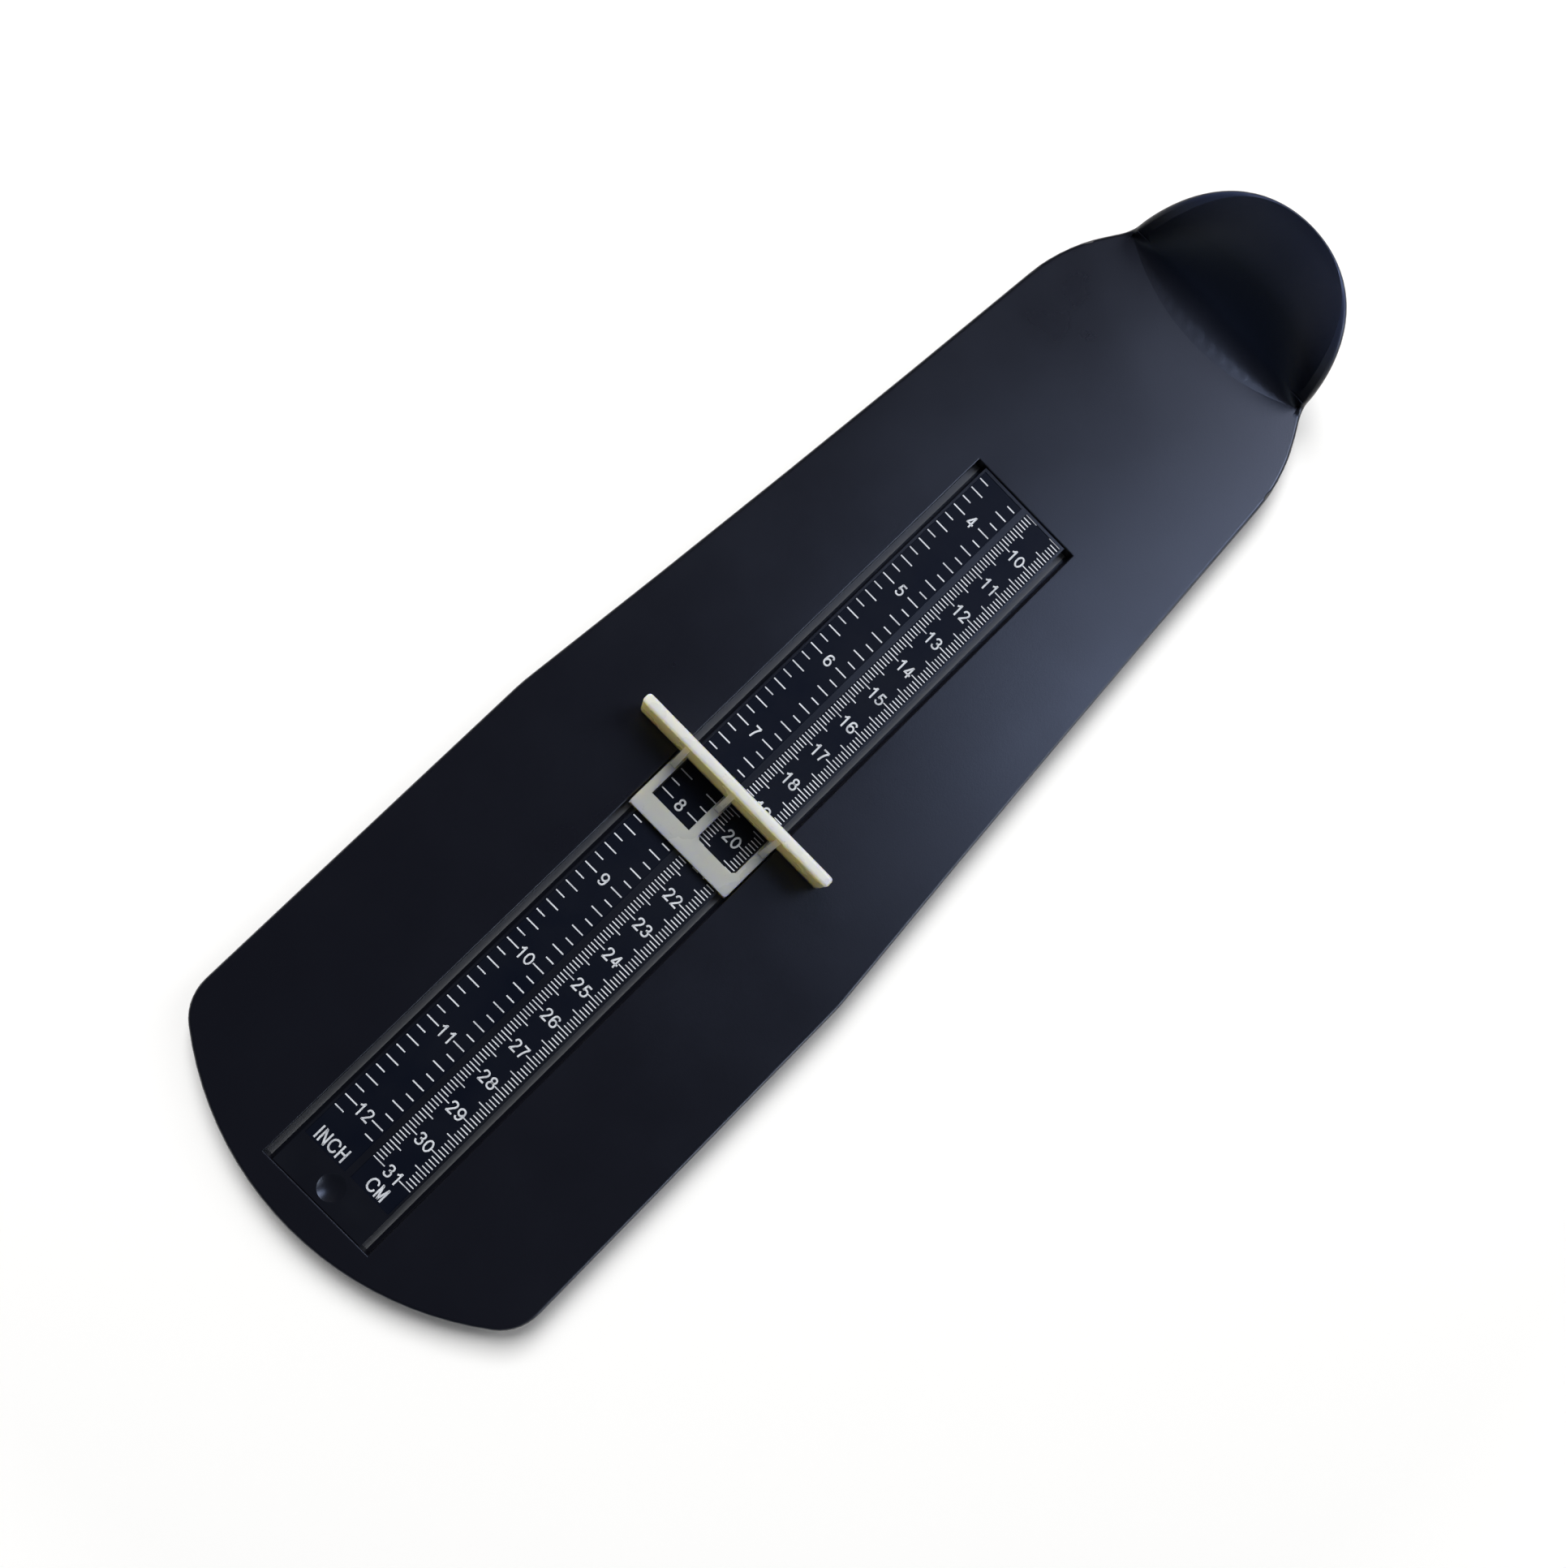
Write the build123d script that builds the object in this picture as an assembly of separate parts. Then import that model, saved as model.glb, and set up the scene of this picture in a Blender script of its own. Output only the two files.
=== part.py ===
import os
from math import acos, atan2, cos, radians, sin, sqrt, tan

from build123d import *

# A foot gauge: a moulded board with a heel cup, a scale strip in its channel and a toe slider.
# Millimetres. +Y points to the heel, +X to the centimetre side, +Z up. The origin is on the
# ground, in the middle of the board's length and width. A reading is a distance from the heel.

# Board outline, at the ground
boardLength = 338.0
boardWidth = 110.0
toeRadius = 85.0
toeCornerRadius = 13.0
kneeFromToe = 125.5
kneeRadius = 60.0
taperHollow = 0.6           # how far each tapering side curves inwards
shoulderHalfWidth = 41.9
shoulderAngle = 30.0        # degrees from the long axis
shoulderRadius = 50.0
heelRadius = 36.8

# Board section
deckTop = 9.0
deckWall = 2.4
skirtWall = 2.2
lipWidth = 0.6
lipHeight = 1.4
sideDraft = 0.4             # degrees
deckEdgeRound = 1.0

# Heel cup
cupHeight = 37.0
crestWall = 1.2             # the cup's wall at its rim
readingZero = 34.0          # past the centre of the heel's arc, where a heel rests
rimStart = 16.5             # past the centre of the heel's arc
rimStartAngle = 84.0        # degrees, steepness of the rim where it leaves the deck
rimStartReach = 12.0        # how long the rim keeps that direction
rimEndAngle = 12.0          # degrees, what is left of the climb at the heel
rimEndReach = 9.5
rimFootRound = 3.0
crestWear = 0.4145           # what the rim's rounded edge takes off its crest
climbLead = 8.7             # the cup's floor turns up this far ahead of the rim's start
fillHeight = 2.6            # of the block that the climb is cut from, ahead of the rim
fillMargin = 0.4            # between that block and the faces of the heel's room
climbHeight = 45.0          # upright half axis of the ellipse that the climb follows
climbLevels = 7             # sections of the loft
roomHeadroom = 1.5          # how far the heel's room is cut past the rim
heelHollowTop = 22.0

# Channel in the deck
channelHeelReading = 89.0
channelToeMargin = 8.9      # from the board's toe
channelWidth = 33.6
channelFloor = 4.8
channelPlate = 2.2
channelEdgeRound = 0.3

# Ribs under the deck
ribWall = 1.5
ribPitch = 30.0
ribRise = 0.6               # height of the ribs' lower edges above the ground

# Scale strip
stripFace = 8.4
stripLip = 1.2
stripWidth = 28.2
stripOverhang = 1.0
stripEndGap = 0.15
fieldDepth = 0.2
fieldBorder = 0.6
fieldHeelBorder = 0.8
fieldToeBorder = 9.15
centreBandFrom = -0.5
centreBandTo = 1.2
dimpleFromEnd = 4.65
dimpleDiameter = 6.8
dimpleDepth = 1.0
pegDiameter = 3.0
pegClearance = 0.1
pegEndMargin = 12.0
pegHeadDiameter = 5.0
pegHeadHeight = 1.1

# Slider
restReading = 191.5
plateLength = 60.7
plateThickness = 2.8
plateTop = 25.0
plateCornerRound = 1.0
plateEdgeRound = 0.8
frameLength = 17.1
frameThickness = 1.8
frameCornerRound = 0.8
frontBar = 5.2
sideLeg = 2.4
centreLeg = 2.6
windowChamfer = 0.9
gussetBase = 4.0
gussetWall = 1.6
gussetTopGap = 2.2
runClearance = 0.3          # between the slider and the strip, the deck and the channel's floor
sideClearance = 0.6         # between the slider and each side of the channel

tolerance = 0.01            # for picking edges and corners by their place

# Worked out from the sizes above
halfLength = boardLength / 2
halfWidth = boardWidth / 2
kneeY = kneeFromToe - halfLength
heelCentreY = halfLength - heelRadius
cupOuterRadius = heelRadius - lipWidth
crestRadius = cupOuterRadius - crestWall
rimStartY = heelCentreY + rimStart
zeroY = heelCentreY + readingZero
channelHeelY = zeroY - channelHeelReading
channelToeY = channelToeMargin - halfLength
channelUnderside = channelFloor - channelPlate
stripToeY = channelToeY + stripEndGap
stripLipBottom = stripFace - stripLip


def boxBetween(low, high):
    size = [b - a for a, b in zip(low, high)]
    middle = [(a + b) / 2 for a, b in zip(low, high)]
    return Pos(*middle) * Box(*size)


def boardOutline():
    """The board's plan as a face, from the toe's arc round to the heel's."""
    toeCentreY = toeRadius - halfLength
    cornerY = toeCentreY - sqrt(toeRadius**2 - halfWidth**2)
    slope = radians(shoulderAngle)
    flowX = heelRadius * cos(slope)
    flowY = heelCentreY + heelRadius * sin(slope)
    shoulderY = flowY - (shoulderHalfWidth - flowX) / tan(slope)
    rightToe = RadiusArc((halfWidth, cornerY), (0, -halfLength), toeRadius)
    rightSide = Line((halfWidth, cornerY), (halfWidth, kneeY))
    rightTaper = SagittaArc((halfWidth, kneeY), (shoulderHalfWidth, shoulderY), taperHollow)
    rightShoulder = Line((shoulderHalfWidth, shoulderY), (flowX, flowY))
    heel = ThreePointArc((flowX, flowY), (0, halfLength), (-flowX, flowY))
    rightHalf = [rightToe, rightSide, rightTaper, rightShoulder]
    leftHalf = [edge.mirror(Plane.YZ) for edge in rightHalf]
    face = make_face([heel] + rightHalf + leftHalf)
    rounds = [(cornerY, toeCornerRadius), (kneeY, kneeRadius), (shoulderY, shoulderRadius)]
    for vertexY, radius in rounds:
        corners = [v for v in face.vertices() if abs(v.Y - vertexY) < tolerance]
        face = fillet(corners, radius)
    return face


def sideProfile():
    """What stays of the moulding in side view: the deck, then the rim that climbs to the heel."""
    startAngle = radians(rimStartAngle)
    start = (rimStartY, deckTop)
    leave = (rimStartY + rimStartReach * cos(startAngle), deckTop + rimStartReach * sin(startAngle))
    endAngle = radians(rimEndAngle)
    crest = (heelCentreY + cupOuterRadius, cupHeight + crestWear)
    arrive = (crest[0] - rimEndReach * cos(endAngle), crest[1] - rimEndReach * sin(endAngle))
    rim = Bezier(start, leave, arrive, crest)
    behind = [crest, (halfLength, crest[1]), (halfLength, 0)]
    below = [(-halfLength, 0), (-halfLength, deckTop), start]
    face = make_face([rim, Polyline(*behind, *below)])
    foot = [v for v in face.vertices() if abs(v.X - rimStartY) < tolerance]
    return fillet(foot, rimFootRound)


def heelRoom(wall=0):
    """The heel's room: level with the deck, then one curve up to the rim.

    With a wall it reaches that much deeper, as the limit of the hollow on the other side.
    """
    crestAngle = acos(1 - (cupHeight - deckTop) / climbHeight)
    lastAngle = acos(1 - (cupHeight + roomHeadroom - deckTop) / climbHeight)
    climbDepth = (crestRadius - rimStart + climbLead) / sin(crestAngle)
    sideX = sqrt(crestRadius**2 - rimStart**2) + wall
    sections = []
    for i in range(climbLevels):
        angle = lastAngle * i / (climbLevels - 1)
        slope = atan2(climbHeight * sin(angle), climbDepth * cos(angle))
        level = deckTop + climbHeight * (1 - cos(angle)) - wall * cos(slope)
        backY = rimStartY - climbLead + climbDepth * sin(angle) + wall * sin(slope)
        back = ThreePointArc((sideX, rimStartY), (0, backY), (-sideX, rimStartY))
        corners = [(-sideX, rimStartY), (-sideX, heelCentreY), (sideX, heelCentreY)]
        face = make_face([back, Polyline(*corners, (sideX, rimStartY))])
        sections.append(Pos(0, 0, level) * face)
    return loft(sections)


def alongChannel(halfSpan, endMargin, low, high):
    """A block on the channel's centre line, longer than the channel by a margin at each end."""
    return boxBetween(
        (-halfSpan, channelToeY - endMargin, low),
        (halfSpan, channelHeelY + endMargin, high),
    )


def ribPlaces():
    """Where the cross ribs stand, evenly spaced about the middle of the board."""
    count = int(boardLength // ribPitch)
    return [(i - (count - 1) / 2) * ribPitch for i in range(count)]


def pegPlaces():
    """Where the strip's pegs stand: in every other bay between the ribs below the channel."""
    bays = [y + ribPitch / 2 for y in ribPlaces()]
    toe = channelToeY + pegEndMargin
    heel = channelHeelY - pegEndMargin
    return [y for y in bays if toe < y < heel][::2]


def uprightPegs(diameter, low, high):
    """One cylinder at each peg's place."""
    return [Pos(0, y, (low + high) / 2) * Cylinder(diameter / 2, high - low) for y in pegPlaces()]


def underside(outline, sideCut):
    """The hollow below the deck and the cup, less the channel's plate and less the ribs."""
    ceiling = deckTop - deckWall
    inside = extrude(offset(outline, -lipWidth - skirtWall), heelHollowTop)
    hollow = inside & Pos(0, skirtWall, -deckWall) * sideCut
    hollow -= heelRoom(skirtWall)
    railOuter = channelWidth / 2 + skirtWall
    kept = [alongChannel(railOuter, skirtWall, channelUnderside, ceiling)]
    for inner, outer in ((channelWidth / 2, railOuter), (-railOuter, -channelWidth / 2)):
        kept.append(boxBetween((inner, -halfLength, ribRise), (outer, halfLength, heelHollowTop)))
    for y in ribPlaces():
        ribLow = (-halfWidth, y - ribWall / 2, ribRise)
        kept.append(boxBetween(ribLow, (halfWidth, y + ribWall / 2, heelHollowTop)))
    return hollow - kept


def topEdges(solid):
    """The edges round the deck and the rim, without the seams that run straight across."""
    high = [e for e in solid.edges() if e.bounding_box().min.Z > deckTop - tolerance]
    return [e for e in high if e.bounding_box().size.Y > tolerance]


def baseBoard():
    outline = boardOutline()
    height = 2 * cupHeight
    inset = lipWidth + height * tan(radians(sideDraft))
    drawnIn = Pos(0, 0, height) * offset(outline, -inset)
    tall = loft([offset(outline, -lipWidth), drawnIn], ruled=True)
    sideCut = extrude(Plane.YZ * sideProfile(), halfWidth, both=True)
    board = fillet(topEdges(tall & sideCut), deckEdgeRound)
    board += extrude(outline, lipHeight)
    fillX = sqrt(crestRadius**2 - rimStart**2) - fillMargin
    fillLow = (-fillX, rimStartY - climbLead - fillMargin, deckTop - fillMargin)
    board += boxBetween(fillLow, (fillX, rimStartY + fillMargin, deckTop + fillHeight))
    board -= heelRoom()
    board -= underside(outline, sideCut)
    board -= alongChannel(channelWidth / 2, 0, channelFloor, deckTop)
    mouth = board.edges().filter_by_position(Axis.Z, deckTop - tolerance, deckTop + tolerance)
    mouth = [e for e in mouth if abs(e.position_at(0.5).X) < channelWidth / 2 + tolerance]
    mouth = [e for e in mouth if e.position_at(0.5).Y < channelHeelY + tolerance]
    board = fillet(mouth, channelEdgeRound)
    board -= uprightPegs(pegDiameter + 2 * pegClearance, 0, channelFloor)
    return board


def scaleStrip():
    """A lipped strip on a narrower pedestal, with sunk fields and a dimple on its face."""
    half = stripWidth / 2
    pedestal = alongChannel(half - stripOverhang, -stripEndGap, channelFloor, stripFace)
    strip = pedestal + alongChannel(half, -stripEndGap, stripLipBottom, stripFace)
    face = stripFace - fieldDepth
    fieldToe = stripToeY + fieldToeBorder
    fieldHeel = channelHeelY - stripEndGap - fieldHeelBorder
    for left, right in ((-half + fieldBorder, centreBandFrom), (centreBandTo, half - fieldBorder)):
        strip -= boxBetween((left, fieldToe, face), (right, fieldHeel, stripFace))
    ballRadius = (dimpleDiameter**2 / 4 + dimpleDepth**2) / (2 * dimpleDepth)
    dimpleZ = stripFace - dimpleDepth + ballRadius
    strip -= Pos(0, stripToeY + dimpleFromEnd, dimpleZ) * Rot(90, 0, 0) * Sphere(ballRadius)
    headBottom = channelUnderside - pegHeadHeight
    strip += uprightPegs(pegDiameter, headBottom, channelFloor)
    strip += uprightPegs(pegHeadDiameter, headBottom, channelUnderside)
    return strip


def sliderFrame(toeY, heelY, low):
    """The flat frame with its two windows, one on each side of the centre leg."""
    outer = channelWidth / 2 - sideClearance
    frame = boxBetween((-outer, toeY, low), (outer, heelY, low + frameThickness))
    frame = fillet(frame.edges().filter_by(Axis.Z).group_by(Axis.Y)[0], frameCornerRound)
    windowToe = toeY + frontBar
    for side in (-1, 1):
        near = side * centreLeg / 2
        far = side * (outer - sideLeg)
        ends = [(near, windowToe), (far, windowToe), (far, heelY), (near, heelY)]
        window = make_face(Polyline(*ends, close=True))
        if side > 0:
            corners = [v for v in window.vertices() if v.Y < windowToe + tolerance]
            window = chamfer(corners, windowChamfer)
        frame -= Pos(0, 0, low) * extrude(window, frameThickness)
    return frame


def slider():
    heelY = zeroY - restReading
    plateToeY = heelY - plateThickness
    toeY = plateToeY - frameLength
    frameLow = stripFace + runClearance
    frameTop = frameLow + frameThickness
    platePlan = RectangleRounded(plateLength, plateThickness, plateCornerRound)
    platePlan = Pos(0, (heelY + plateToeY) / 2) * platePlan
    plateLow = deckTop + runClearance
    plate = Pos(0, 0, plateLow) * extrude(platePlan, plateTop - plateLow)
    plate = fillet(plate.edges().group_by(Axis.Z)[-1], plateEdgeRound)
    body = plate + sliderFrame(toeY, plateToeY, frameLow)
    outer = channelWidth / 2 - sideClearance
    inner = stripWidth / 2 + runClearance
    hookInner = stripWidth / 2 - stripOverhang + runClearance
    runnerLow = channelFloor + runClearance
    hookTop = stripLipBottom - runClearance
    section = Polyline(
        (outer, runnerLow),
        (outer, frameLow),
        (inner, frameLow),
        (inner, hookTop),
        (hookInner, hookTop),
        (hookInner, runnerLow),
        close=True,
    )
    runner = extrude(Plane.XZ * make_face(section), -(heelY - toeY))
    runner = Pos(0, toeY, 0) * runner
    body += [runner, runner.mirror(Plane.YZ)]
    gussetTop = plateTop - gussetTopGap
    corners = [(plateToeY, frameTop), (plateToeY - gussetBase, frameTop), (plateToeY, gussetTop)]
    side = Polyline(*corners, close=True)
    legCentre = outer - sideLeg / 2
    for x in (-legCentre, 0, legCentre):
        body += Pos(x, 0, 0) * extrude(Plane.YZ * make_face(side), gussetWall / 2, both=True)
    return body


if __name__ == "__main__":
    os.makedirs("parts", exist_ok=True)
    pieces = {"base_board": baseBoard(), "scale_strip": scaleStrip(), "slider": slider()}
    for name, piece in pieces.items():
        piece.label = name
        export_step(piece, f"parts/{name}.step")
        box = piece.bounding_box()
        print(name, len(piece.solids()), round(piece.volume), box.min, box.max)
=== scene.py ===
from math import radians

import bpy
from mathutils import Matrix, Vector


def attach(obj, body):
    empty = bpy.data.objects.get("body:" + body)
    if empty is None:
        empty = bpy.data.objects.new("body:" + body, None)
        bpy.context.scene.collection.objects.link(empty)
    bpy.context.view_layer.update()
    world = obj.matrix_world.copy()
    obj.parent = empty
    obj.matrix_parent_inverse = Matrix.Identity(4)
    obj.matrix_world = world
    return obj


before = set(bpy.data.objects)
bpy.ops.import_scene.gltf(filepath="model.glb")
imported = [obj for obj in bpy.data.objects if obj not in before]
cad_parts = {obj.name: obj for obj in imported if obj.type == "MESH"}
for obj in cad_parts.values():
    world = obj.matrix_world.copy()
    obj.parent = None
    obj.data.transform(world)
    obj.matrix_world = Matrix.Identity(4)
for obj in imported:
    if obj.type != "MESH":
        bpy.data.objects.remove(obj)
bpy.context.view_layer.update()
mm = 0.001
print("loaded the frame:", ", ".join(sorted(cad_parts)))


# helpers

def deselectAll():
    for thing in bpy.context.selected_objects:
        thing.select_set(False)


def activate(thing):
    deselectAll()
    thing.select_set(True)
    bpy.context.view_layer.objects.active = thing


def applyModifiers(thing):
    activate(thing)
    for modifier in list(thing.modifiers):
        bpy.ops.object.modifier_apply(modifier=modifier.name)


def joinPieces(pieces, name):
    activate(pieces[0])
    for piece in pieces:
        piece.select_set(True)
    bpy.ops.object.join()
    joined = bpy.context.view_layer.objects.active
    joined.name = joined.data.name = name
    return joined


# materials

plainSheen = 0.5                # the specular level of a plain plastic
noiseMiddle = (0.3, 0.7)        # most of a noise lies between these
edgeLean = (0.995, 0.9)         # cosine of the bevelled normal's lean, on a flat and on a sharp edge


def newMaterial(name):
    material = bpy.data.materials.new(name)
    material.use_nodes = True
    material.node_tree.nodes.clear()
    return material, material.node_tree.nodes, material.node_tree.links


# a material with one shader, which the finish is then plugged into
def newSurface(name):
    material, nodes, links = newMaterial(name)
    shader = nodes.new("ShaderNodeBsdfPrincipled")
    output = nodes.new("ShaderNodeOutputMaterial")
    links.new(shader.outputs["BSDF"], output.inputs["Surface"])
    return material, nodes, links, shader


# the piece's own coordinates, one by one
def splitPlace(nodes, links):
    place = nodes.new("ShaderNodeTexCoord")
    split = nodes.new("ShaderNodeSeparateXYZ")
    links.new(place.outputs["Object"], split.inputs["Vector"])
    return split.outputs


def noiseOn(nodes, links, scale, detail, stretch=(1, 1, 1)):
    place = nodes.new("ShaderNodeTexCoord")
    mapping = nodes.new("ShaderNodeMapping")
    mapping.inputs["Scale"].default_value = stretch
    noise = nodes.new("ShaderNodeTexNoise")
    noise.inputs["Scale"].default_value = scale
    noise.inputs["Detail"].default_value = detail
    links.new(place.outputs["Object"], mapping.inputs["Vector"])
    links.new(mapping.outputs["Vector"], noise.inputs["Vector"])
    return noise.outputs["Fac"]


# from one pair of limits to another, and no further
def spread(nodes, links, value, limits, results):
    ranged = nodes.new("ShaderNodeMapRange")
    ranged.inputs["From Min"].default_value, ranged.inputs["From Max"].default_value = limits
    ranged.inputs["To Min"].default_value, ranged.inputs["To Max"].default_value = results
    links.new(value, ranged.inputs["Value"])
    return ranged.outputs["Result"]


def combine(nodes, links, operation, first, second):
    node = nodes.new("ShaderNodeMath")
    node.operation = operation
    for socket, value in zip(node.inputs, (first, second)):
        if isinstance(value, (int, float)):
            socket.default_value = value
        else:
            links.new(value, socket)
    return node.outputs[0]


def multiply(nodes, links, first, second):
    return combine(nodes, links, "MULTIPLY", first, second)


def larger(nodes, links, first, second):
    return combine(nodes, links, "MAXIMUM", first, second)


# 1 where a value lies between two limits, 0 elsewhere
def between(nodes, links, value, limits):
    above = combine(nodes, links, "GREATER_THAN", value, limits[0])
    below = combine(nodes, links, "LESS_THAN", value, limits[1])
    return multiply(nodes, links, above, below)


def vectorLength(nodes, links, vector):
    length = nodes.new("ShaderNodeVectorMath")
    length.operation = "LENGTH"
    links.new(vector, length.inputs[0])
    return length.outputs["Value"]


def blendColours(nodes, links, share, first, second):
    mix = nodes.new("ShaderNodeMix")
    mix.data_type = "RGBA"
    links.new(share, mix.inputs["Factor"])
    for socket, value in ((mix.inputs["A"], first), (mix.inputs["B"], second)):
        if isinstance(value, tuple):
            socket.default_value = (*value, 1)
        else:
            links.new(value, socket)
    return mix.outputs["Result"]


# 0 on a flat, 1 on a sharp edge, from how far the bevelled normal leans
def edgeShare(nodes, links, radius):
    bevel = nodes.new("ShaderNodeBevel")
    bevel.samples = 4
    bevel.inputs["Radius"].default_value = radius
    geometry = nodes.new("ShaderNodeNewGeometry")
    dot = nodes.new("ShaderNodeVectorMath")
    dot.operation = "DOT_PRODUCT"
    links.new(bevel.outputs["Normal"], dot.inputs[0])
    links.new(geometry.outputs["Normal"], dot.inputs[1])
    return spread(nodes, links, dot.outputs["Value"], edgeLean, (0, 1))


# the fine grain that a moulding tool leaves
def addGrain(nodes, links, shader, finish):
    grain = noiseOn(nodes, links, finish["grainScale"], detail=2)
    bump = nodes.new("ShaderNodeBump")
    bump.inputs["Distance"].default_value = finish["grainDepth"]
    bump.inputs["Strength"].default_value = 1
    links.new(grain, bump.inputs["Height"])
    links.new(bump.outputs["Normal"], shader.inputs["Normal"])


boardFinish = {
    "colour": (0.0042, 0.0042, 0.0068),
    "rubbedColour": (0.016, 0.017, 0.021),
    "roughness": (0.27, 0.34),
    "smudgeScale": 38,
    "hairlineScale": 24,
    "hairlineStretch": (60, 4, 4),
    "hairlineLimits": (0.62, 0.72),             # of the noise, so that only a few show
    "hairlineWear": 0.02,
    "edgeRadius": 0.5 * mm,
    "edgeWear": 0.35,
    "wornRoughness": 0.1,                       # more than elsewhere
    "grainScale": 2600,
    "grainDepth": 0.012 * mm,
    "paintedLightShift": 0.65 * mm,
    "paintedLightReach": (14.5 * mm, 16.4 * mm),       # from the shifted middle
    "paintedLightHeight": (4.7 * mm, 5.2 * mm),
    "paintedLightLength": (-160.1 * mm, 77.2 * mm),
    "paintedLightColour": (0.16, 0.165, 0.175),        # painted light on the lit side of each channel's floor
    "paintedLightRoughness": 0.52,
    "cupCentre": 132.2 * mm,
    "cupInside": 35.3 * mm,
    "cupClimb": (9.0 * mm, 12.0 * mm),          # the cup is duller than the deck, and darker with painted shade, from here up
    "cupRoughness": 0.42,
    # painted shade: darker and bluer inside the cup
    "cupShadeColour": (0.0012, 0.0022, 0.0068),
    "cupSheen": 0.40,                           # specular level
    "cupSheenRise": (19 * mm, 36 * mm),              # painted sheen, lighter and bluer, over this height towards the rim
    # painted sheen: a lighter bluish reflection towards the rim
    "cupRimSheenColour": (0.024, 0.033, 0.074),
}


# 1 on a band along the -X side of each channel's floor, which gets painted light, 0 elsewhere
def trackShare(nodes, links, split, finish):
    across = combine(nodes, links, "ADD", split["X"], finish["paintedLightShift"])
    reach = combine(nodes, links, "ABSOLUTE", across, 0)
    inside = between(nodes, links, reach, finish["paintedLightReach"])
    inside = multiply(nodes, links, inside, between(nodes, links, split["Y"], finish["paintedLightLength"]))
    return multiply(nodes, links, inside, between(nodes, links, split["Z"], finish["paintedLightHeight"]))


# 1 within the cup's wall, 0 elsewhere
def roomShare(nodes, links, finish):
    place = nodes.new("ShaderNodeTexCoord")
    flat = nodes.new("ShaderNodeMapping")
    flat.inputs["Location"].default_value = (0, -finish["cupCentre"], 0)
    flat.inputs["Scale"].default_value = (1, 1, 0)
    links.new(place.outputs["Object"], flat.inputs["Vector"])
    reach = vectorLength(nodes, links, flat.outputs["Vector"])
    return combine(nodes, links, "LESS_THAN", reach, finish["cupInside"])


# satin black, rubbed on its edges, with painted light on its channels' floors, duller and with painted
# shade in the cup, and a painted sheen towards the cup's rim
def mouldedBlack(name, finish):
    material, nodes, links, shader = newSurface(name)
    split = splitPlace(nodes, links)
    hairline = noiseOn(nodes, links, finish["hairlineScale"], detail=2, stretch=finish["hairlineStretch"])
    hairlines = spread(nodes, links, hairline, finish["hairlineLimits"], (0, finish["hairlineWear"]))
    edges = edgeShare(nodes, links, finish["edgeRadius"])
    worn = larger(nodes, links, multiply(nodes, links, edges, finish["edgeWear"]), hairlines)
    room = roomShare(nodes, links, finish)
    inCup = multiply(nodes, links, room, spread(nodes, links, split["Z"], finish["cupClimb"], (0, 1)))
    rimSheen = multiply(nodes, links, room, spread(nodes, links, split["Z"], finish["cupSheenRise"], (0, 1)))
    paintedLight = trackShare(nodes, links, split, finish)
    # painted shade in the cup, then a painted bluish sheen towards its rim
    colour = blendColours(nodes, links, inCup, finish["colour"], finish["cupShadeColour"])
    colour = blendColours(nodes, links, rimSheen, colour, finish["cupRimSheenColour"])
    colour = blendColours(nodes, links, worn, colour, finish["rubbedColour"])
    # painted light on a band of each channel's floor
    colour = blendColours(nodes, links, paintedLight, colour, finish["paintedLightColour"])
    links.new(colour, shader.inputs["Base Color"])
    smudge = noiseOn(nodes, links, finish["smudgeScale"], detail=3)
    rough = spread(nodes, links, smudge, noiseMiddle, finish["roughness"])
    wornRough = multiply(nodes, links, worn, finish["wornRoughness"])
    rough = combine(nodes, links, "ADD", rough, wornRough)
    cupRough = multiply(nodes, links, inCup, finish["cupRoughness"])
    paintedLightRough = multiply(nodes, links, paintedLight, finish["paintedLightRoughness"])
    dull = larger(nodes, links, cupRough, paintedLightRough)
    links.new(larger(nodes, links, rough, dull), shader.inputs["Roughness"])
    sheen = spread(nodes, links, inCup, (0, 1), (plainSheen, finish["cupSheen"]))
    links.new(sheen, shader.inputs["Specular IOR Level"])
    addGrain(nodes, links, shader, finish)
    return material


stripFinish = {
    "colour": (0.0034, 0.0036, 0.0060),
    "fieldColour": (0.0022, 0.0033, 0.0080),
    "mottleColour": (0.010, 0.011, 0.014),
    "mottleScale": 60,
    "mottleShare": 0.3,
    "mottleRoughness": (-0.03, 0.03),           # more or less than elsewhere
    "roughness": 0.30,
    "fieldRoughness": 0.50,
    "fieldSheen": 0.10,                         # specular level, matt beside the lips
    "fieldTop": 8.3 * mm,
    "fieldToe": -150.8 * mm,
    "grainScale": 3200,
    "grainDepth": 0.010 * mm,
}


# satin black on the lips and the centre band, duller in the sunk fields
def lippedStrip(name, finish):
    material, nodes, links, shader = newSurface(name)
    split = splitPlace(nodes, links)
    sunk = combine(nodes, links, "LESS_THAN", split["Z"], finish["fieldTop"])
    heelward = combine(nodes, links, "GREATER_THAN", split["Y"], finish["fieldToe"])
    field = multiply(nodes, links, sunk, heelward)
    mottle = noiseOn(nodes, links, finish["mottleScale"], detail=3)
    mottled = spread(nodes, links, mottle, noiseMiddle, (0, finish["mottleShare"]))
    colour = blendColours(nodes, links, field, finish["colour"], finish["fieldColour"])
    colour = blendColours(nodes, links, mottled, colour, finish["mottleColour"])
    links.new(colour, shader.inputs["Base Color"])
    rough = spread(nodes, links, field, (0, 1), (finish["roughness"], finish["fieldRoughness"]))
    uneven = spread(nodes, links, mottle, noiseMiddle, finish["mottleRoughness"])
    links.new(combine(nodes, links, "ADD", rough, uneven), shader.inputs["Roughness"])
    sheen = spread(nodes, links, field, (0, 1), (plainSheen, finish["fieldSheen"]))
    links.new(sheen, shader.inputs["Specular IOR Level"])
    addGrain(nodes, links, shader, finish)
    return material


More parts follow.
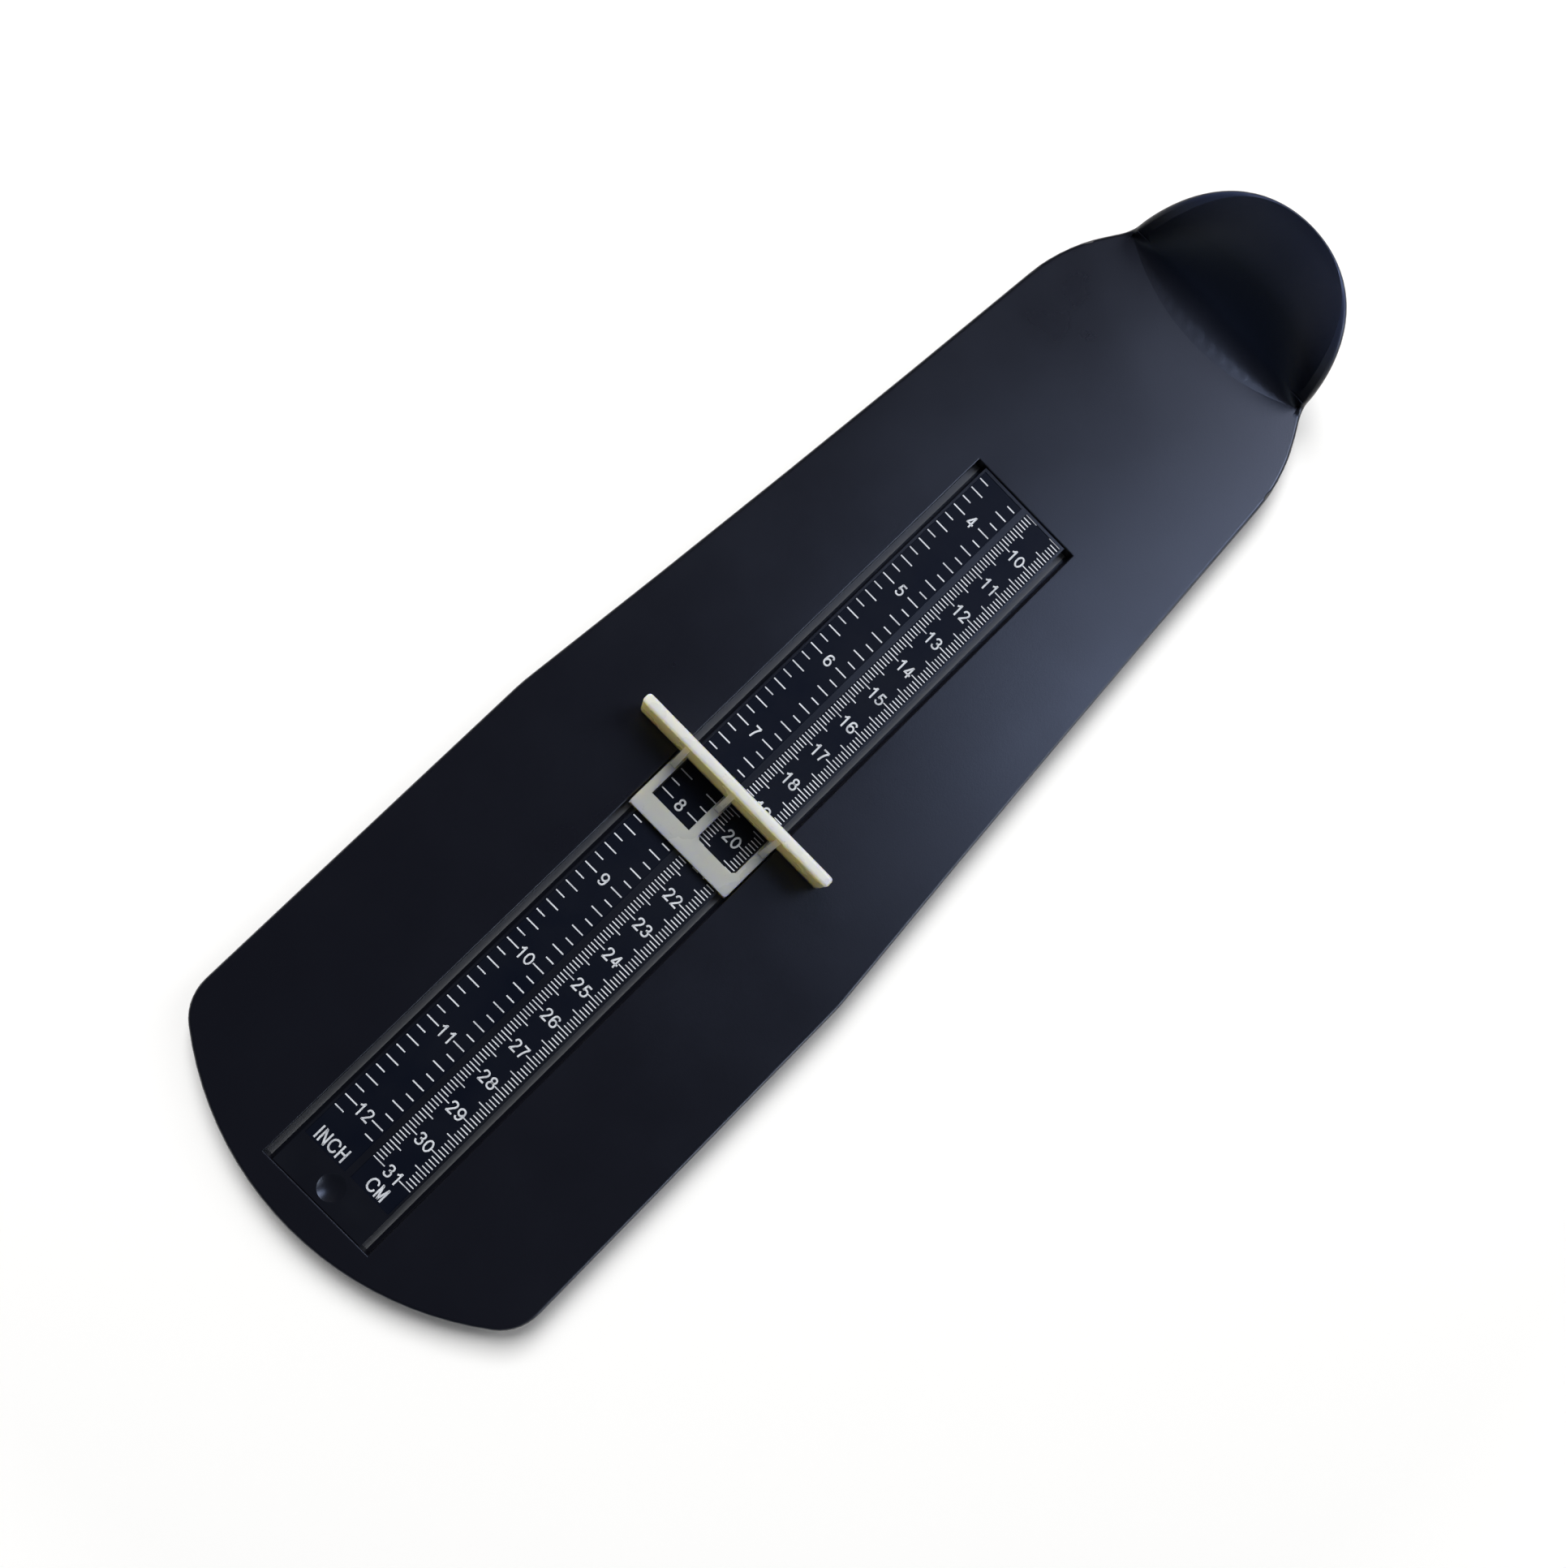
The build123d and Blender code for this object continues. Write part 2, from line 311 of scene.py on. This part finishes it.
sliderFinish = {
    "colour": (0.80, 0.77, 0.70),
    "agedColour": (0.77, 0.725, 0.61),
    "ageingScale": 70,
    "ageingLimits": (0.35, 0.7),
    "ageingShare": 0.4,
    "frameShadeColour": (0.46, 0.45, 0.42),          # painted shade of the upright plate, and the thin plastic with the black board below it
    "frameTop": 10.7 * mm,
    "soilColour": (0.30, 0.27, 0.18),
    "soilScale": 900,
    "soilLimits": (0.66, 0.75),
    "soilShare": 0.25,
    "roughness": (0.22, 0.30),
    "sheen": 0.7,                               # specular level
    "lightInside": 0.95,
    "lightReach": (10.5 * mm, 8.2 * mm, 1.6 * mm),
    "grainScale": 2400,
    "grainDepth": 0.010 * mm,
}


# off-white that lets light in, a little aged and soiled, with painted shade on the low frame
def mouldedCream(name, finish):
    material, nodes, links, shader = newSurface(name)
    split = splitPlace(nodes, links)
    ageing = noiseOn(nodes, links, finish["ageingScale"], detail=4)
    aged = spread(nodes, links, ageing, finish["ageingLimits"], (0, finish["ageingShare"]))
    thin = combine(nodes, links, "LESS_THAN", split["Z"], finish["frameTop"])
    speck = noiseOn(nodes, links, finish["soilScale"], detail=2)
    soil = spread(nodes, links, speck, finish["soilLimits"], (0, finish["soilShare"]))
    colour = blendColours(nodes, links, aged, finish["colour"], finish["agedColour"])
    # painted shade on the frame below frameTop
    colour = blendColours(nodes, links, thin, colour, finish["frameShadeColour"])
    colour = blendColours(nodes, links, soil, colour, finish["soilColour"])
    links.new(colour, shader.inputs["Base Color"])
    rough = spread(nodes, links, ageing, noiseMiddle, finish["roughness"])
    links.new(rough, shader.inputs["Roughness"])
    shader.inputs["Specular IOR Level"].default_value = finish["sheen"]
    shader.inputs["Subsurface Weight"].default_value = finish["lightInside"]
    shader.inputs["Subsurface Radius"].default_value = finish["lightReach"]
    shader.inputs["Subsurface Scale"].default_value = 1
    addGrain(nodes, links, shader, finish)
    return material


inkFinish = {
    "colour": (0.65, 0.68, 0.73),
    "thinColour": (0.41, 0.43, 0.47),
    "patchScale": 420,
    "patchLimits": (0.45, 0.75),
    "roughness": 0.5,
}


# ink of uneven strength, as a pad leaves it
def whiteInk(name, finish):
    material, nodes, links, shader = newSurface(name)
    patch = noiseOn(nodes, links, finish["patchScale"], detail=3)
    thin = spread(nodes, links, patch, finish["patchLimits"], (0, 1))
    colour = blendColours(nodes, links, thin, finish["colour"], finish["thinColour"])
    links.new(colour, shader.inputs["Base Color"])
    shader.inputs["Roughness"].default_value = finish["roughness"]
    return material


def repaint(node, material):
    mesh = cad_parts[node].data
    mesh.materials.clear()
    mesh.materials.append(material)


repaint("base_board", mouldedBlack("mouldedBlack", boardFinish))
repaint("scale_strip", lippedStrip("lippedStrip", stripFinish))
repaint("slider", mouldedCream("mouldedCream", sliderFinish))
inkMaterial = whiteInk("whiteInk", inkFinish)
print("painted the board, the strip and the slider")


# the scale's printing, in millimetres until it is placed

scalePrint = {
    "zeroY": 166.2,
    "inch": 25.4,
    "centimetre": 10,
    "inkLow": 8.185,
    "inkHigh": 8.225,
    "inchTick": 0.33,
    "cmTick": 0.26,
    "tickRound": 0.22,                          # of the tick's width
    # each row of ticks: edge, end of the long ones, end of the short ones
    "outerInchTicks": (-13.25, -9.40, -10.50),
    "innerInchTicks": (-1.05, -4.60, -3.50),
    "innerCmTicks": (1.42, 5.05, 3.85),
    "outerCmTicks": (13.35, 9.70, 10.95),
    "firstEighth": 29,
    "lastEighth": 97,
    "firstInch": 4,
    "lastInch": 12,
    "firstCm": 9,
    "lastCm": 31,
}

lettering = {
    "digitHeight": 3.30,
    "wordHeight": 3.55,
    "stroke": 0.155,                            # of the height
    "advance": 0.755,                           # from one digit to the next, of the height
    "curveSteps": 3,
    "strokeRounding": 1,
    "inchCentre": -7.0,
    "cmCentre": 7.55,
    "wordY": -148.5,
    "inchWordCentre": -7.0,
    "cmWordCentre": 7.5,
}

inkMiddle = (scalePrint["inkHigh"] + scalePrint["inkLow"]) / 2
inkThickness = scalePrint["inkHigh"] - scalePrint["inkLow"]


# one bar with rounded corners from an edge to an end, set to each reading by its arrays
def tickRow(name, edge, end, width, start, repeats):
    bpy.ops.mesh.primitive_cube_add(size=1)
    bar = bpy.context.active_object
    bar.name = name
    bar.scale = (abs(end - edge) * mm, width * mm, inkThickness * mm)
    bar.location = ((edge + end) / 2 * mm, (scalePrint["zeroY"] - start) * mm, inkMiddle * mm)
    bpy.ops.object.transform_apply(location=True, rotation=False, scale=True)
    bpy.ops.object.mode_set(mode="EDIT")
    bpy.ops.mesh.select_all(action="DESELECT")
    bpy.ops.object.mode_set(mode="OBJECT")
    for edgeLine in bar.data.edges:
        ends = [bar.data.vertices[i].co for i in edgeLine.vertices]
        edgeLine.select = abs(ends[0].z - ends[1].z) > inkThickness * mm / 2
    bpy.ops.object.mode_set(mode="EDIT")
    bpy.ops.mesh.select_mode(type="EDGE")
    bpy.ops.mesh.bevel(offset=width * scalePrint["tickRound"] * mm, segments=2)
    bpy.ops.object.mode_set(mode="OBJECT")
    for pitch, count in repeats:
        array = bar.modifiers.new("row", "ARRAY")
        array.use_relative_offset = False
        array.use_constant_offset = True
        array.constant_offset_displace = (0, -pitch * mm, 0)
        array.count = count
    applyModifiers(bar)
    return bar


# Stroke letters on a cell one unit high. A stroke is a list of points; a closed one ends where it starts.
strokeLetters = {
    "0": [
        [(0.34, 0.92), (0.13, 0.74), (0.09, 0.5), (0.13, 0.26), (0.34, 0.08), (0.55, 0.26), (0.59, 0.5),
         (0.55, 0.74), (0.34, 0.92)],
    ],
    "1": [[(0.42, 0), (0.42, 1)], [(0.40, 0.93), (0.30, 0.80), (0.15, 0.72)]],
    "2": [
        [(0.10, 0.70), (0.18, 0.88), (0.35, 0.925), (0.53, 0.84), (0.54, 0.64), (0.36, 0.38), (0.12, 0.08)],
        [(0.06, 0.075), (0.62, 0.075)],
    ],
    "3": [
        [(0.10, 0.74), (0.19, 0.89), (0.35, 0.92), (0.51, 0.84), (0.51, 0.64), (0.37, 0.54), (0.27, 0.54)],
        [(0.35, 0.54), (0.53, 0.47), (0.57, 0.28), (0.50, 0.13), (0.34, 0.08), (0.17, 0.12), (0.09, 0.28)],
    ],
    "4": [[(0.46, 0), (0.46, 1)], [(0.44, 0.94), (0.10, 0.31)], [(0.04, 0.30), (0.64, 0.30)]],
    "5": [
        [(0.58, 0.92), (0.19, 0.92)],
        [(0.22, 0.94), (0.15, 0.47)],
        [(0.14, 0.50), (0.24, 0.59), (0.37, 0.60), (0.53, 0.52), (0.58, 0.34), (0.51, 0.16), (0.34, 0.08),
         (0.18, 0.12), (0.09, 0.27)],
    ],
    "6": [
        [(0.57, 0.76), (0.49, 0.89), (0.35, 0.92), (0.19, 0.85), (0.11, 0.67), (0.09, 0.47), (0.11, 0.24),
         (0.20, 0.12), (0.35, 0.08), (0.52, 0.15), (0.58, 0.33), (0.51, 0.51), (0.36, 0.58), (0.20, 0.52),
         (0.12, 0.38)],
    ],
    "7": [[(0.07, 0.92), (0.60, 0.92)], [(0.57, 0.90), (0.38, 0.58), (0.29, 0.28), (0.25, 0)]],
    "8": [
        [(0.34, 0.92), (0.20, 0.87), (0.14, 0.73), (0.20, 0.60), (0.34, 0.545), (0.48, 0.60), (0.54, 0.73),
         (0.48, 0.87), (0.34, 0.92)],
        [(0.34, 0.545), (0.16, 0.47), (0.09, 0.31), (0.16, 0.14), (0.34, 0.08), (0.52, 0.14), (0.59, 0.31),
         (0.52, 0.47), (0.34, 0.545)],
    ],
    "9": [
        [(0.11, 0.24), (0.19, 0.11), (0.33, 0.08), (0.49, 0.15), (0.57, 0.33), (0.59, 0.53), (0.57, 0.76),
         (0.48, 0.88), (0.33, 0.92), (0.16, 0.85), (0.10, 0.67), (0.17, 0.49), (0.32, 0.42), (0.48, 0.48),
         (0.56, 0.62)],
    ],
    "I": [[(0.14, 0), (0.14, 1)]],
    "N": [[(0.16, 0), (0.16, 1)], [(0.17, 0.96), (0.62, 0.04)], [(0.63, 0), (0.63, 1)]],
    "C": [
        [(0.70, 0.68), (0.62, 0.85), (0.43, 0.925), (0.22, 0.84), (0.11, 0.64), (0.11, 0.36), (0.22, 0.16),
         (0.43, 0.075), (0.62, 0.15), (0.71, 0.34)],
    ],
    "H": [[(0.16, 0), (0.16, 1)], [(0.63, 0), (0.63, 1)], [(0.16, 0.53), (0.63, 0.53)]],
    "M": [
        [(0.16, 0), (0.16, 1)],
        [(0.18, 0.97), (0.42, 0.05)],
        [(0.66, 0.97), (0.42, 0.05)],
        [(0.68, 0), (0.68, 1)],
    ],
}
letterWidths = {"I": 0.28, "N": 0.79, "C": 0.79, "H": 0.79, "M": 0.84}


# a letter's strokes as one flat film, its lower left corner at the origin
def drawLetter(letter, height):
    curve = bpy.data.curves.new("letter_" + letter, "CURVE")
    curve.dimensions = "3D"
    curve.bevel_depth = lettering["stroke"] / 2 * height * mm
    curve.bevel_resolution = lettering["strokeRounding"]
    curve.resolution_u = lettering["curveSteps"]
    curve.use_fill_caps = True
    for points in strokeLetters[letter]:
        closed = points[0] == points[-1]
        if closed:
            points = points[:-1]
        spline = curve.splines.new("BEZIER")
        spline.bezier_points.add(len(points) - 1)
        spline.use_cyclic_u = closed
        for knot, (x, y) in zip(spline.bezier_points, points):
            knot.co = (x * height * mm, y * height * mm, 0)
            knot.handle_left_type = knot.handle_right_type = "AUTO"
    drawn = bpy.data.objects.new("letter_" + letter, curve)
    bpy.context.collection.objects.link(drawn)
    activate(drawn)
    bpy.ops.object.convert(target="MESH")
    drawn = bpy.context.active_object
    drawn.scale = (1, 1, inkThickness / (lettering["stroke"] * height))
    bpy.ops.object.transform_apply(location=False, rotation=False, scale=True)
    return drawn


# copies of the drawn letters in a row, centred on a place
def setWord(patterns, word, height, centreX, centreY):
    placed = []
    cursor = 0
    for letter in word:
        pattern = patterns[letter]
        piece = pattern.copy()
        piece.data = pattern.data.copy()
        bpy.context.collection.objects.link(piece)
        piece.location = (cursor * height * mm, 0, 0)
        placed.append(piece)
        cursor += letterWidths.get(letter, lettering["advance"])
    bpy.context.view_layer.update()
    reach = [(piece.matrix_world @ vertex.co).x for piece in placed for vertex in piece.data.vertices]
    shift = centreX * mm - (min(reach) + max(reach)) / 2
    for piece in placed:
        piece.location += Vector((shift, centreY * mm - height * mm / 2, inkMiddle * mm))
    activate(placed[0])
    for piece in placed:
        piece.select_set(True)
    bpy.ops.object.transform_apply(location=True, rotation=False, scale=False)
    return placed


def inchPrinting(digits, letters):
    eighth = scalePrint["inch"] / 8
    first, last = scalePrint["firstEighth"], scalePrint["lastEighth"]
    shortCount = (last - first) // 2 + 1
    width = scalePrint["inchTick"]
    rows = []
    for side in ("outer", "inner"):
        edge, longEnd, shortEnd = scalePrint[side + "InchTicks"]
        eighths = [(2 * eighth, shortCount)]
        quarters = [(2 * eighth, shortCount - 1)]
        rows.append(tickRow(side + "Eighths", edge, shortEnd, width, first * eighth, eighths))
        rows.append(tickRow(side + "Quarters", edge, longEnd, width, (first + 1) * eighth, quarters))
    for inch in range(scalePrint["firstInch"], scalePrint["lastInch"] + 1):
        y = scalePrint["zeroY"] - inch * scalePrint["inch"]
        rows += setWord(digits, str(inch), lettering["digitHeight"], lettering["inchCentre"], y)
    wordPlace = (lettering["inchWordCentre"], lettering["wordY"])
    rows += setWord(letters, "INCH", lettering["wordHeight"], *wordPlace)
    return joinPieces(rows, "inchPrinting")


def centimetrePrinting(digits, letters):
    centimetre = scalePrint["centimetre"]
    first, last = scalePrint["firstCm"], scalePrint["lastCm"]
    start = first * centimetre
    halves = 2 * (last - first)
    width = scalePrint["cmTick"]
    rows = []
    for side in ("inner", "outer"):
        edge, longEnd, shortEnd = scalePrint[side + "CmTicks"]
        halfCm = [(centimetre / 2, halves + 1)]
        millimetres = [(1, 4), (centimetre / 2, halves)]      # four, between each two long ticks
        rows.append(tickRow(side + "HalfCm", edge, longEnd, width, start, halfCm))
        rows.append(tickRow(side + "Millimetres", edge, shortEnd, width, start + 1, millimetres))
    for cm in range(first + 1, last + 1):
        y = scalePrint["zeroY"] - cm * centimetre
        rows += setWord(digits, str(cm), lettering["digitHeight"], lettering["cmCentre"], y)
    wordPlace = (lettering["cmWordCentre"], lettering["wordY"])
    rows += setWord(letters, "CM", lettering["wordHeight"], *wordPlace)
    return joinPieces(rows, "centimetrePrinting")


digitPatterns = {digit: drawLetter(digit, lettering["digitHeight"]) for digit in "0123456789"}
wordPatterns = {letter: drawLetter(letter, lettering["wordHeight"]) for letter in "INCHM"}
printings = [
    inchPrinting(digitPatterns, wordPatterns),
    centimetrePrinting(digitPatterns, wordPatterns),
]
for pattern in list(digitPatterns.values()) + list(wordPatterns.values()):
    bpy.data.objects.remove(pattern)
for printing in printings:
    printing.data.materials.clear()
    printing.data.materials.append(inkMaterial)
    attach(printing, "base")
print("printed the inch and centimetre scales")


# floor, world, lamps and camera

surroundings = {
    "floorSize": 6.0,
    "floorColour": (0.92, 0.92, 0.92),
    "floorGlow": (0.07, 1.0),
    "floorGlowReach": (0.24, 1.1),              # the far floor fades into the white background
    "white": (1.0, 1.0, 1.0),
    "skyDiffuse": (0.085, 0.085, 0.085),
    "skyOverhead": (0.035, 0.047, 0.074),
    "skyHorizon": (0.38, 0.48, 0.64),
    "climb": (0.02, 0.40),                      # where the horizon's glow fades, as the sine of the height
    "glowSpan": (-0.7, 0.7),                    # of the direction's X
    "glowAcross": (0.25, 1.4),                  # of the horizon's glow, from -X to +X
}

# a mirrored lamp is seen in gloss, and a diffuse one lights and casts shadows
lamps = {
    "heelSoftbox": {
        "toward": (0.40, 0.62, 1.0),
        "distance": 1.12,
        "size": (0.34, 0.72),
        "power": 3.4,
        "colour": (0.69, 0.85, 1.30),
        "mirrored": True,
        "diffuse": False,
    },
    "heelFill": {
        "toward": (0.40, 0.62, 1.0),
        "distance": 1.12,
        "size": (0.34, 0.72),
        "power": 3.1,
        "colour": (1.0, 1.0, 1.0),
        "mirrored": False,
        "diffuse": True,
    },
    "backSoftbox": {
        "toward": (0.36, 0.92, 1.0),
        "distance": 1.28,
        "size": (0.50, 0.34),
        "power": 3.4,
        "colour": (0.78, 0.87, 1.18),
        "mirrored": True,
        "diffuse": False,
    },
    "rightStrip": {
        "toward": (1.0, 0.15, 0.55),
        "distance": 1.1,
        "size": (0.9, 0.2),
        "power": 7.0,
        "colour": (0.80, 0.92, 1.20),
        "mirrored": True,
        "diffuse": False,
    },
    "sideSoftbox": {
        "toward": (-0.50, 0.45, 1.0),
        "distance": 3.0,
        "size": (1.7, 1.7),
        "power": 106.0,
        "colour": (1.0, 0.995, 0.985),
        "mirrored": False,
        "diffuse": True,
    },
}

view = {
    "lens": 36.947,
    "sensorWidth": 36,
    "nearest": 10 * mm,
    "place": (-0.003756, -0.075676, 0.392282),
    "turn": (5.1078, -7.4396, 45.9004),         # degrees
}


# 1 for the rays that see the floor straight, mirrored or through something
def showsToEye(nodes, links):
    path = nodes.new("ShaderNodeLightPath")
    seen = larger(nodes, links, path.outputs["Is Camera Ray"], path.outputs["Is Glossy Ray"])
    return larger(nodes, links, seen, path.outputs["Is Transmission Ray"])


def layFloor():
    bpy.ops.mesh.primitive_plane_add(size=surroundings["floorSize"])
    floor = bpy.context.active_object
    floor.name = "floor"
    material, nodes, links = newMaterial("paleFloor")
    diffuse = nodes.new("ShaderNodeBsdfDiffuse")
    diffuse.inputs["Color"].default_value = (*surroundings["floorColour"], 1)
    glow = nodes.new("ShaderNodeEmission")
    place = nodes.new("ShaderNodeTexCoord").outputs["Object"]
    reach = vectorLength(nodes, links, place)
    strength = spread(nodes, links, reach, surroundings["floorGlowReach"], surroundings["floorGlow"])
    seen = showsToEye(nodes, links)
    links.new(multiply(nodes, links, seen, strength), glow.inputs["Strength"])
    both = nodes.new("ShaderNodeAddShader")
    links.new(diffuse.outputs[0], both.inputs[0])
    links.new(glow.outputs[0], both.inputs[1])
    output = nodes.new("ShaderNodeOutputMaterial")
    links.new(both.outputs[0], output.inputs["Surface"])
    floor.data.materials.append(material)


# dim for the light on the object, a tinted horizon for its gloss, and white to the eye
def paintWorld():
    world = bpy.data.worlds.new("studio")
    bpy.context.scene.world = world
    world.use_nodes = True
    nodes, links = world.node_tree.nodes, world.node_tree.links
    nodes.clear()
    place = nodes.new("ShaderNodeTexCoord")
    split = nodes.new("ShaderNodeSeparateXYZ")
    links.new(place.outputs["Generated"], split.inputs["Vector"])
    climb = spread(nodes, links, split.outputs["Z"], surroundings["climb"], (0, 1))
    across = spread(
        nodes, links, split.outputs["X"], surroundings["glowSpan"], surroundings["glowAcross"]
    )
    horizon = nodes.new("ShaderNodeVectorMath")
    horizon.operation = "SCALE"
    horizon.inputs[0].default_value = surroundings["skyHorizon"]
    links.new(across, horizon.inputs["Scale"])
    mirrored = blendColours(
        nodes, links, climb, horizon.outputs["Vector"], surroundings["skyOverhead"]
    )
    path = nodes.new("ShaderNodeLightPath")
    seen = larger(nodes, links, path.outputs["Is Glossy Ray"], path.outputs["Is Transmission Ray"])
    colour = blendColours(nodes, links, seen, surroundings["skyDiffuse"], mirrored)
    colour = blendColours(nodes, links, path.outputs["Is Camera Ray"], colour, surroundings["white"])
    background = nodes.new("ShaderNodeBackground")
    links.new(colour, background.inputs["Color"])
    output = nodes.new("ShaderNodeOutputWorld")
    links.new(background.outputs[0], output.inputs["Surface"])


def hangLamps():
    for name, lamp in lamps.items():
        light = bpy.data.lights.new(name, "AREA")
        light.shape = "RECTANGLE"
        light.size, light.size_y = lamp["size"]
        light.energy = lamp["power"]
        light.color = lamp["colour"]
        hung = bpy.data.objects.new(name, light)
        bpy.context.collection.objects.link(hung)
        direction = Vector(lamp["toward"]).normalized()
        hung.location = direction * lamp["distance"]
        hung.rotation_euler = direction.to_track_quat("Z", "Y").to_euler()
        hung.visible_glossy = lamp["mirrored"]
        hung.visible_diffuse = lamp["diffuse"]


def setCamera():
    camera = bpy.data.cameras.new("camera")
    camera.lens = view["lens"]
    camera.sensor_width = view["sensorWidth"]
    camera.clip_start = view["nearest"]
    held = bpy.data.objects.new("camera", camera)
    bpy.context.collection.objects.link(held)
    held.rotation_mode = "YXZ"
    held.rotation_euler = [radians(angle) for angle in view["turn"]]
    held.location = view["place"]
    bpy.context.scene.camera = held


layFloor()
paintWorld()
hangLamps()
setCamera()
bpy.context.scene.view_settings.view_transform = "Standard"
print("set the floor, the lamps and the camera")
